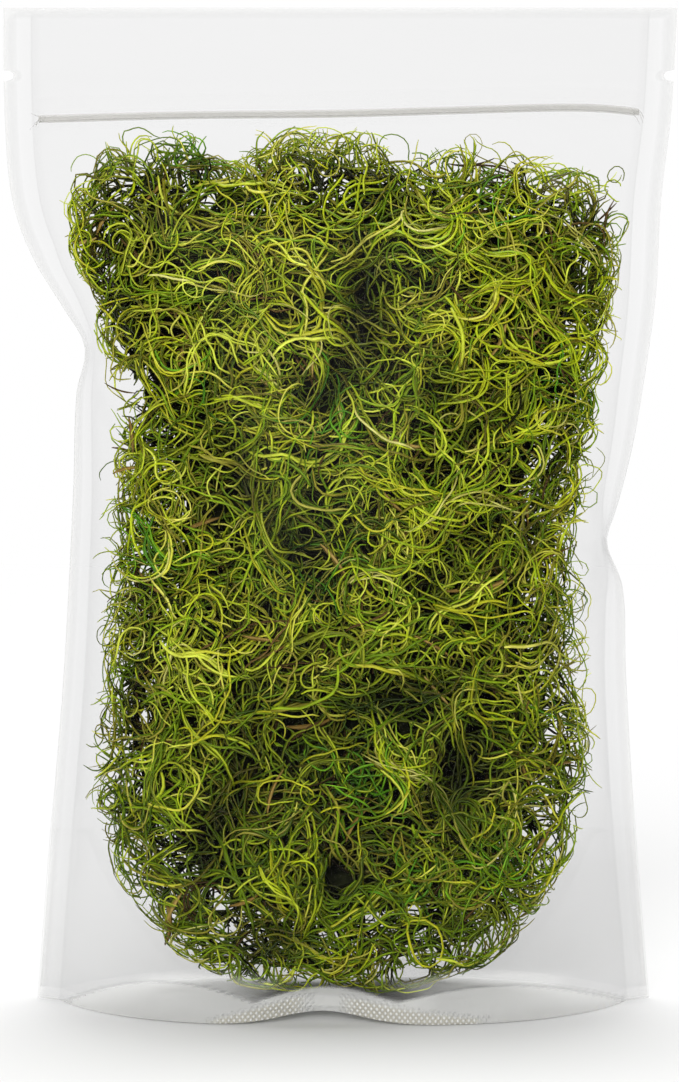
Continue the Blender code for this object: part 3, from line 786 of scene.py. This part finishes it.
def fan_out(rng, kind, guides):
    """The strands of each lock: close together at its root, spreading and straying towards the tip."""
    x, z, heading = (np.repeat(part, kind["strands"], axis=0) for part in guides)
    count, points = x.shape
    start, end = rng.uniform(0, 0.3, (count, 1)), rng.uniform(0.65, 1, (count, 1))
    along = start + (end - start) * np.linspace(0, 1, points)
    spread = rng.uniform(0.3, 1, (count, 1)) * kind["spread"]
    opening = 0.15 + along ** rng.uniform(0.6, 1.8, (count, 1))
    offset = rng.uniform(-1, 1, (count, 1)) * spread * opening
    for most, turns in RIPPLES:
        phase = rng.uniform(*ANY_PHASE, (count, 1))
        size = rng.uniform(RIPPLE_LEAST, most, (count, 1))
        offset = offset + size * np.sin(along * rng.uniform(*turns, (count, 1)) + phase)
    place = along * (points - 1)
    across = along_rows(heading, place) + math.pi / 2
    x, z = along_rows(x, place) + offset * np.cos(across), along_rows(z, place) + offset * np.sin(across)
    base = rng.uniform(*kind["depth"], (kind["locks"], 1)).repeat(kind["strands"], 0)
    phase = rng.uniform(*ANY_PHASE, (count, 1))
    size = rng.uniform(WEAVE_LEAST, kind["weave"], (count, 1))
    weave = size * np.sin(along * rng.uniform(*WEAVE_TURNS, (count, 1)) + phase)
    depth = np.maximum(base + rng.uniform(-0.2, 0.2, (count, 1)) * kind["spread"] + weave, 0.0)
    return x, z, depth


def on_the_floor(rng, x, z):
    """Heights kept above the gusset's floor, by a distance that varies between strands near the sides."""
    stray = rng.uniform(0, FLOOR_STRAY, (len(x), 1)) * ease(np.abs(x) / FLOOR_SIDE)
    low = gusset_height(x) + FLOOR_CLEAR + stray
    return low + FLOOR_SOFT * np.logaddexp(0, (z - low) / FLOOR_SOFT)


def trimmed(rng, x, z, depth, edge):
    """The strands cut off where they first leave the moss's space, without those left too short."""
    left, right = seal_lines(z)
    out = inside_outline(x, z) < edge - np.minimum(rng.normal(*RAGGED, (len(x), 1)), RAGGED_MOST)
    out |= (x < left + SEAL_CLEAR) | (x > right - SEAL_CLEAR) | (z > MOSS_TOP)
    for gap_x, gap_z, wide, high in GAPS:
        out |= ((x - gap_x) / wide) ** 2 + ((z - gap_z) / high) ** 2 < 1
    points = x.shape[1]
    first = np.where(out.any(1), out.argmax(1), points) - 1
    kept = (first >= max(3, points // 4)) & ((first == points - 1) | (rng.random(len(x)) < TRIMMED_SHARE))
    place = first[kept, None] * np.linspace(0, 1, points)
    x, z, depth = (along_rows(part[kept], place) for part in (x, z, depth))
    return (x, on_the_floor(rng, x, z), depth), kept


# How far past the middle plane a strand may lie, as a share of the moss's depth, and how far the strands
# stray to the front and back where the moss is thin
PAST_MIDDLE, THIN_STRAY, THIN_DEPTH = 0.6, 4.0, 8


def into_pouch(rng, x, z, depth, side):
    """Strand points in space: below the moss's surface and clear of the film."""
    surface = moss_depth(x, z)
    deeper = hollow_depth(x, z) if side < 0 else 0
    y = np.maximum(surface - depth - deeper, -PAST_MIDDLE * surface)
    loose = rng.uniform(-1, 1, (len(x), 1)) * THIN_STRAY
    y = y + loose * np.clip(1 - surface / THIN_DEPTH, 0, 1)
    room = np.maximum(film_depth(x, z) - MOSS_CLEAR, 0)
    return np.stack([x, side * np.clip(y, -room, room) + seal_tilt(x, z), z], axis=2)


def tubes(paths, radii, flat=1.0, first=0):
    """Three-sided tubes along many paths, as points and faces; flat above 1 makes them broad and thin."""
    count, points, _ = paths.shape
    ahead = np.gradient(paths, axis=1)
    ahead /= np.linalg.norm(ahead, axis=2, keepdims=True) + 1e-9
    across = np.empty_like(paths)
    side = np.cross(ahead[:, 0], (0.31, 0.9, 0.23))
    for i in range(points):
        side = side - (side * ahead[:, i]).sum(1, keepdims=True) * ahead[:, i]
        side /= np.linalg.norm(side, axis=1, keepdims=True) + 1e-9
        across[:, i] = side
    up = np.cross(ahead, across)
    turns = np.arange(3) * 2 * math.pi / 3
    ring = (
        across[:, :, None] * np.cos(turns)[:, None] * flat
        + up[:, :, None] * np.sin(turns)[:, None] / flat
    )
    corners = paths[:, :, None] + ring * radii[:, :, None, None]
    index = first + np.arange(count * points * 3).reshape(count, points, 3)
    here, there = index[:, :-1], index[:, 1:]
    walls = np.stack([here, np.roll(here, -1, 2), np.roll(there, -1, 2), there], axis=-1)
    caps = np.concatenate([index[:, 0, ::-1], index[:, -1]])
    return corners.reshape(-1, 3), walls.reshape(-1, 4).tolist() + caps.tolist()


def taper(rng, kind, count, points):
    """Radii along strands: full for most of their length, fine at the tip."""
    along = np.linspace(0, 1, points)
    shape = np.minimum(1, 0.65 + 4 * along) * np.minimum(1, 0.5 + 4 * (1 - along))
    return rng.uniform(*kind["thick"], (count, 1)) * shape


# The kinds of strands: a lock's strands spread from one root, weave in and out and lie within a range of
# depths under the moss's surface. curl is the range of the radius that a lock bends by, and thick that of
# a strand's own radius. wander is how much a bend strays, and follow how well it keeps to the field.
# SHADOW strands lie deep and are mostly of the shadow tone: near-black strands that paint the shade inside
# the moss.
SHADOW = dict(
    strands=4, curl=(20, 80), wander=0.06, follow=0.04, spread=6.0, weave=3.0, depth=(6, 12),
    thick=(0.36, 0.52), edge=15, tones=dict(shadow=0.85, brown=0.15),
)
MIDDLE = dict(
    strands=4, curl=(12, 60), wander=0.082, follow=0.05, spread=4.5, weave=2.8, depth=(2.2, 7),
    thick=(0.26, 0.42), edge=4,
    tones=dict(olive=0.32, khaki=0.18, green=0.28, brown=0.08, shadow=0.14),
)
TOP = dict(
    strands=4, curl=(9, 55), wander=0.09, follow=0.04, spread=4.0, weave=2.2, depth=(0.4, 3.2),
    thick=(0.28, 0.44), edge=1.5,
    tones=dict(lime=0.36, gold=0.16, green=0.22, straw=0.05, olive=0.12, khaki=0.09),
)
LOOSE = dict(
    strands=1, curl=(4, 20), wander=0.12, follow=0.0, spread=1.0, weave=2.4, depth=(0.2, 4),
    thick=(0.24, 0.38), edge=0,
    tones=dict(lime=0.34, gold=0.14, green=0.24, olive=0.14, khaki=0.1, straw=0.04),
)
RIBBON = dict(
    strands=2, curl=(14, 70), wander=0.08, follow=0.03, spread=3.5, weave=1.4, depth=(0.2, 1.8),
    thick=(0.42, 0.6), edge=6, tones=dict(lime=0.46, gold=0.18, green=0.28, khaki=0.08),
)
# Strands between the front and the back, round the edge and under the dark inside
FILL = dict(
    strands=3, curl=(12, 60), wander=0.085, follow=0.03, spread=6.0, weave=3.0, depth=(8, 62),
    thick=(0.3, 0.46), edge=5, within=34,
    tones=dict(shadow=0.2, olive=0.3, khaki=0.15, green=0.15, leaf=0.15, brown=0.05),
)
KINDS = (
    dict(SHADOW, side=-1, locks=230, points=11, step=6.0),
    dict(MIDDLE, side=-1, locks=690, points=15, step=3.3),
    dict(TOP, side=-1, locks=530, points=18, step=2.6),
    dict(LOOSE, side=-1, locks=1950, points=15, step=2.3),
    dict(RIBBON, side=-1, locks=70, points=14, step=3.4),
    dict(SHADOW, side=1, locks=90, points=10, step=6.5),
    dict(MIDDLE, side=1, locks=340, points=11, step=5.0),
    dict(TOP, side=1, locks=240, points=13, step=4.1),
    dict(LOOSE, side=1, locks=520, points=12, step=3.1),
    dict(RIBBON, side=1, locks=50, points=11, step=4.0),
    dict(FILL, side=1, locks=180, points=10, step=4.6),
)

# Each tone: its dark, middle and light colours, its roughness and its specular level
TONES = dict(
    # The shadow tone is painted shade, for strands lying in the shade deep inside.
    shadow=((0.008, 0.011, 0.001), (0.022, 0.028, 0.002), (0.05, 0.06, 0.004), 0.8, 0.1),
    olive=((0.07, 0.1, 0.001), (0.19, 0.24, 0.004), (0.4, 0.47, 0.02), 0.45, 0.25),
    khaki=((0.1, 0.09, 0.004), (0.23, 0.22, 0.01), (0.46, 0.44, 0.05), 0.45, 0.25),
    green=((0.07, 0.13, 0.001), (0.18, 0.31, 0.002), (0.4, 0.58, 0.015), 0.42, 0.2),
    leaf=((0.05, 0.1, 0.001), (0.14, 0.23, 0.001), (0.32, 0.48, 0.01), 0.42, 0.2),
    fresh=((0.04, 0.14, 0.001), (0.11, 0.33, 0.004), (0.26, 0.56, 0.015), 0.42, 0.25),
    lime=((0.28, 0.37, 0.002), (0.54, 0.66, 0.008), (0.84, 0.94, 0.1), 0.38, 0.3),
    gold=((0.3, 0.32, 0.003), (0.62, 0.64, 0.015), (0.92, 0.92, 0.16), 0.38, 0.3),
    straw=((0.26, 0.24, 0.02), (0.5, 0.49, 0.07), (0.84, 0.84, 0.26), 0.4, 0.3),
    brown=((0.022, 0.012, 0.003), (0.08, 0.045, 0.012), (0.2, 0.12, 0.035), 0.7, 0.15),
    husk=((0.14, 0.08, 0.012), (0.3, 0.19, 0.035), (0.5, 0.37, 0.1), 0.6, 0.3),
)
# This share of the strands has its lock's tone. The tones that turn fresh in a fresh patch:
LOCK_SHARE, FRESH_FROM, FRESH_LIMITS = 0.5, ("olive", "khaki", "green", "lime"), (0.15, 1.2)
# Lower down, this share of the strands of these tones is of a darker green: painted shade, darker towards
# the bottom.
SHADED_LOW_SHARE, SHADED_LOW_BELOW, SHADED_LOW_OVER, SHADED_LOW_FROM = 0.5, 140.0, 80.0, ("lime", "gold", "green")
# Over this width inside the outline the strands are finer, painted lighter, and free of painted depth
# shade.
EDGE_WIDTH, EDGE_FINER, EDGE_PAINTED_LIGHT = 20.0, 0.3, 0.2
# Near the outline, within these shares of that width, dark tones turn green, so the shadow tone's painted
# shade and the brown stay off the edge.
DARK_TONES, DARK_LIMITS = ("shadow", "brown"), (0.4, 1.1)
TINT_MIDDLE, TINT_SPREAD, STRAND_FLAT = 0.47, 0.24, 1.2
# A strand this deep gets the darkest painted shade, and a hollow adds more painted shade than its own
# depth.
DEEPEST, HOLLOW_SHADE = 11.0, 1.2


def strand_tones(rng, kind, kept, x, z, inside):
    """The tone of each kept strand, from its lock, its own draw and its place."""
    names, shares = zip(*kind["tones"].items())
    of_lock = rng.choice(names, kind["locks"], p=shares).repeat(kind["strands"])
    of_strand = rng.choice(names, len(of_lock), p=shares)
    tones = np.where(rng.random(len(of_lock)) < LOCK_SHARE, of_lock, of_strand)[kept]
    near = patch_share(FRESH, x, z) > rng.uniform(*FRESH_LIMITS, len(x))
    tones = np.where(near & np.isin(tones, FRESH_FROM), "fresh", tones)
    # Painted shade: lower down, strands turn to the darker leaf tone.
    low = rng.random(len(x)) < SHADED_LOW_SHARE * ease((SHADED_LOW_BELOW - z) / SHADED_LOW_OVER)
    tones = np.where(low & np.isin(tones, SHADED_LOW_FROM), "leaf", tones)
    rim = inside < EDGE_WIDTH * rng.uniform(*DARK_LIMITS, len(x))
    return np.where(rim & np.isin(tones, DARK_TONES), "green", tones)


def strand_shades(rng, x, z, depth, inside):
    """The tint of each point of the strands, from dark to light with painted light at the edge, and its
    painted depth shade.
    """
    # Painted light: strands near the outline get lighter.
    bright = BRIGHTER * patch_share(BRIGHT, x, z) + EDGE_PAINTED_LIGHT * (1 - ease(inside / EDGE_WIDTH))
    tint_and_light = np.clip(rng.normal(TINT_MIDDLE, TINT_SPREAD, (len(x), 1)) + bright, 0, 1)
    shaded = depth + HOLLOW_SHADE * hollow_depth(x, z)
    return tint_and_light, np.clip(shaded / DEEPEST, 0, 1) * ease(inside / EDGE_WIDTH)


def moss_strands():
    """Every strand of the moss, one piece for each tone."""
    rng = np.random.default_rng(SEED)
    gathered = {tone: [] for tone in TONES}
    for kind in KINDS:
        (x, z, depth), kept = trimmed(rng, *fan_out(rng, kind, grow(rng, kind, swirl(rng))), kind["edge"])
        paths = into_pouch(rng, x, z, depth, kind["side"])
        inside = inside_outline(x, z)
        radii = taper(rng, kind, *x.shape) * (1 - EDGE_FINER * (1 - ease(inside / EDGE_WIDTH)))
        middle = x.shape[1] // 2
        tones = strand_tones(rng, kind, kept, x[:, middle], z[:, middle], inside[:, middle])
        tint_and_light, depth_shade = strand_shades(rng, x, z, depth, inside)
        for tone in np.unique(tones):
            chosen = tones == tone
            gathered[tone].append((paths[chosen], radii[chosen], tint_and_light[chosen], depth_shade[chosen]))
    for leaf in sprigs(rng):
        gathered["husk" if leaf[1].max() > HUSK_FROM else "brown"].append(leaf)
    for tone, bundles in gathered.items():
        strand_piece(f"moss_{tone}", bundles, strand_material(f"moss_{tone}", *TONES[tone]))


# Husks and twigs caught in the moss: (x, z, degrees, length, half width)
SPRIGS = (
    (-52, 218, 70, 13, 1.0), (-57, 30, 78, 16, 0.9), (-54, 35, 60, 13, 0.8), (-38, 122, 22, 22, 0.4),
    (-26, 126, 12, 24, 0.35), (-20, 119, 30, 15, 0.4), (44, 283, 8, 16, 0.45), (52, 279, -12, 17, 0.4),
    (91, 262, 80, 16, 0.4), (88, 254, 60, 12, 0.35), (20, 187, -20, 14, 0.8), (64, 222, 40, 12, 0.7),
    (-70, 190, 100, 12, 0.7), (30, 120, 150, 16, 0.7), (-10, 96, 10, 15, 0.8), (5, 63, 60, 12, 0.7),
    (-45, 160, 15, 12, 0.7), (60, 80, 110, 14, 0.7), (-30, 250, 160, 12, 0.7), (70, 150, 20, 18, 0.35),
    (-66, 84, 75, 15, 0.35), (40, 235, -45, 16, 0.4), (-8, 214, 80, 12, 0.7), (52, 178, 35, 14, 0.35),
)
SPRIG_POINTS, SPRIG_SCATTERED, SPRIG_EDGE = 8, 90, 6
# The half widths of scattered husks and twigs, and their lengths. A blade wider than HUSK_FROM is a husk.
HUSK_WIDE, TWIG_WIDE, SPRIG_LONG, HUSK_FROM = (0.55, 0.85), (0.3, 0.42), (8, 16), 0.5
SPRIG_BOW, SPRIG_UNDER = 0.12, (0.8, 2.5)


def sprigs(rng):
    """The named husks and twigs at the front, and scattered ones on both sides, as strand bundles."""
    count = SPRIG_SCATTERED
    x, z = places_inside(rng, count, SPRIG_EDGE)
    husk = rng.random(count) < 0.5
    wide = np.where(husk, rng.uniform(*HUSK_WIDE, count), rng.uniform(*TWIG_WIDE, count))
    scattered = np.stack([x, z, rng.uniform(0, 180, count), rng.uniform(*SPRIG_LONG, count), wide], axis=1)
    places = np.concatenate([np.array(SPRIGS, float), scattered])
    sides = np.concatenate([np.full(len(SPRIGS), -1), rng.choice([-1, 1], count)])
    for (x0, z0, degrees, length, half), side in zip(places, sides):
        way = math.radians(degrees) + rng.normal(0, 0.05)
        reach = np.linspace(-0.5, 0.5, SPRIG_POINTS)
        bow = rng.uniform(-SPRIG_BOW, SPRIG_BOW) * length * (0.25 - reach**2) * 4
        x = x0 + length * reach * math.cos(way) - bow * math.sin(way)
        z = np.minimum(z0 + length * reach * math.sin(way) + bow * math.cos(way), MOSS_TOP)
        surface = moss_depth(x, z) - (hollow_depth(x, z) if side < 0 else 0)
        y = side * np.maximum(surface - rng.uniform(*SPRIG_UNDER), 0.3) + seal_tilt(x, z)
        blade = half * np.minimum(1, 0.35 + 2.2 * (0.5 - np.abs(reach)))
        tint_and_light = np.full(SPRIG_POINTS, np.clip(rng.normal(0.5, 0.25), 0, 1))
        yield [part[None] for part in (np.stack([x, y, z], axis=1), blade, tint_and_light, 0 * tint_and_light)]


def strand_piece(name, bundles, material):
    """One piece from bundles of strands: (paths, radii, tint with painted edge light, painted depth shade)
    arrays.
    """
    points, faces, tints_and_light, depth_shades, first = [], [], [], [], 0
    for paths, radii, tint_and_light, depth_shade in bundles:
        corners, bundle_faces = tubes(paths, radii, STRAND_FLAT, first)
        points.append(corners)
        faces += bundle_faces
        tints_and_light.append(np.repeat(tint_and_light.ravel(), 3))
        depth_shades.append(np.repeat(depth_shade.ravel(), 3))
        first += len(corners)
    shades = (("tint_and_light", np.concatenate(tints_and_light)), ("depth_shade", np.concatenate(depth_shades)))
    obj = mesh_piece(name, np.concatenate(points), faces, [material], shades)
    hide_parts("moss_bunch")


# The dark inside that shows between the strands: a body for the inner strands, painted dark as their shade
CORE_INSIDE, CORE_DETAIL, CORE_UNDER, CORE_FOOT = 28.0, 32, 12.0, 14.0


def moss_core(material):
    """A lumpy body well inside the strands, painted dark as their shade, on rings about the moss's centre.
    """
    turns = np.linspace(0, 2 * math.pi, 4 * CORE_DETAIL, endpoint=False)
    lean = np.linspace(-math.pi / 2, math.pi / 2, CORE_DETAIL)
    angle, tilt = np.meshgrid(turns, lean)
    wrapped = (angle + math.pi) % (2 * math.pi) - math.pi
    radius = (smooth(RADII, wrapped) - CORE_INSIDE) * np.cos(tilt) ** 0.6
    x, z = MOSS_CENTRE[0] + radius * np.cos(angle), MOSS_CENTRE[1] + radius * np.sin(angle)
    z = np.maximum(z, gusset_height(x) + CORE_FOOT)
    full = np.maximum(moss_depth(x, z) - CORE_UNDER - np.where(tilt < 0, hollow_depth(x, z), 0), 1.0)
    rough = 1.6 * np.sin(x * 0.31 + 2 * np.sin(z * 0.17)) * np.cos(z * 0.27 + np.sin(x * 0.13))
    y = np.sign(tilt) * np.maximum(full + rough, 0.8) * np.minimum(np.abs(np.sin(tilt)) * 3, 1)
    faces = [face[:1] + face[:0:-1] for face in ring_faces(*x.shape)]
    obj = mesh_piece("moss_inside_shade", np.stack([x, y, z], axis=2), faces, [material])
    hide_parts("moss_bunch")


# Floor, light and camera

CAMERA_X, CAMERA_DISTANCE, CAMERA_HEIGHT, CAMERA_UP, FOCAL = -0.3, 725.0, 149.5, 0.4, 71.4
# The floor's half size in metres, and how far it lies under the part
FLOOR_SIZE, FLOOR_UNDER = 30.0, 0.2


def floor():
    """A wide pale floor just under the part."""
    mesh = bpy.data.meshes.new("floor")
    corners = [(x * FLOOR_SIZE, y * FLOOR_SIZE, 0) for x, y in ((-1, -1), (1, -1), (1, 1), (-1, 1))]
    mesh.from_pydata(corners, [], [(0, 1, 2, 3)])
    material, _, shader = new_material("pale_floor", 0.7, 0.1)
    shader.inputs["Base Color"].default_value = (0.75, 0.75, 0.75, 1)
    mesh.materials.append(material)
    obj = new_object("floor", mesh)
    obj.location.z = CAD_BOX[0].z - FLOOR_UNDER * MM
    obj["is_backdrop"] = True


SKY = 0.17
# Each light: name, strength, and in degrees its tilt to the front, its turn to the side and its softness
SUNS = (("top", 2.88, -12, 0, 26), ("front", 2.27, 62, -8, 36))


def light():
    """A white backdrop, an even dim sky, a soft light from above and a soft key from the front left."""
    world = bpy.data.worlds.new("studio")
    world.use_nodes = True
    tree = world.node_tree
    sky = tree.nodes["Background"]
    sky.inputs["Color"].default_value = (1, 1, 1, 1)
    sky.inputs["Strength"].default_value = SKY
    backdrop = node(tree, "ShaderNodeBackground", Color=(1, 1, 1, 1), Strength=1.0)
    seen = node(tree, "ShaderNodeLightPath")
    mix = node(tree, "ShaderNodeMixShader")
    tree.links.new(seen.outputs["Is Camera Ray"], mix.inputs["Fac"])
    tree.links.new(sky.outputs["Background"], mix.inputs[1])
    tree.links.new(backdrop.outputs["Background"], mix.inputs[2])
    tree.links.new(mix.outputs["Shader"], tree.nodes["World Output"].inputs["Surface"])
    bpy.context.scene.world = world
    for name, strength, tilt, turn, softness in SUNS:
        sun = bpy.data.lights.new(f"soft_{name}", "SUN")
        sun.energy = strength
        sun.angle = math.radians(softness)
        obj = new_object(f"soft_{name}", sun)
        obj.rotation_euler = (math.radians(tilt), 0, math.radians(turn))


def camera():
    """A long lens at the height of the moss's middle, set to match the photo."""
    data = bpy.data.cameras.new("camera")
    data.sensor_width = 36.0
    data.lens = FOCAL
    data.clip_start, data.clip_end = 0.05, 100
    obj = new_object("camera", data)
    obj.location = Vector((CAMERA_X, -CAMERA_DISTANCE, CAMERA_HEIGHT)) * MM
    obj.rotation_euler = (math.radians(90 + CAMERA_UP), 0, 0)
    bpy.context.scene.camera = obj


camera()
light()
floor()
FILM_DARK, FILM_PALE, ZIP_PLASTIC = (0.02, 0.02, 0.02), (0.9, 0.9, 0.88), (0.66, 0.65, 0.62)
CLEAR_FILM = film_material("clear_film", FILM_DARK, FILM_PALE, 0.2)
FILM_MATERIALS = [CLEAR_FILM, knurled_material(FILM_DARK, FILM_PALE)]
GUSSET_MATERIAL = film_material("gusset_film", FILM_DARK, FILM_PALE, 0.03)
ZIP_MATERIAL = film_material("zip_plastic", ZIP_PLASTIC, FILM_PALE, 0.2)
film_panel("film_front", -1, FILM_MATERIALS)
film_panel("film_back", 1, FILM_MATERIALS)
film_gusset(GUSSET_MATERIAL)
zip_track("zip_rib", RIB, -1, "zip_rib_track", ZIP_MATERIAL)
zip_track("zip_channel", CHANNEL, 1, "zip_channel_track", ZIP_MATERIAL)
frayed_ends(ZIP_MATERIAL)
moss_strands()
moss_core(core_material())

scene = bpy.context.scene
scene.view_settings.view_transform = "Standard"
scene.cycles.transparent_max_bounces = 32

[[list(corner) for corner in box] for box in (CAD_BOX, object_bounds())]
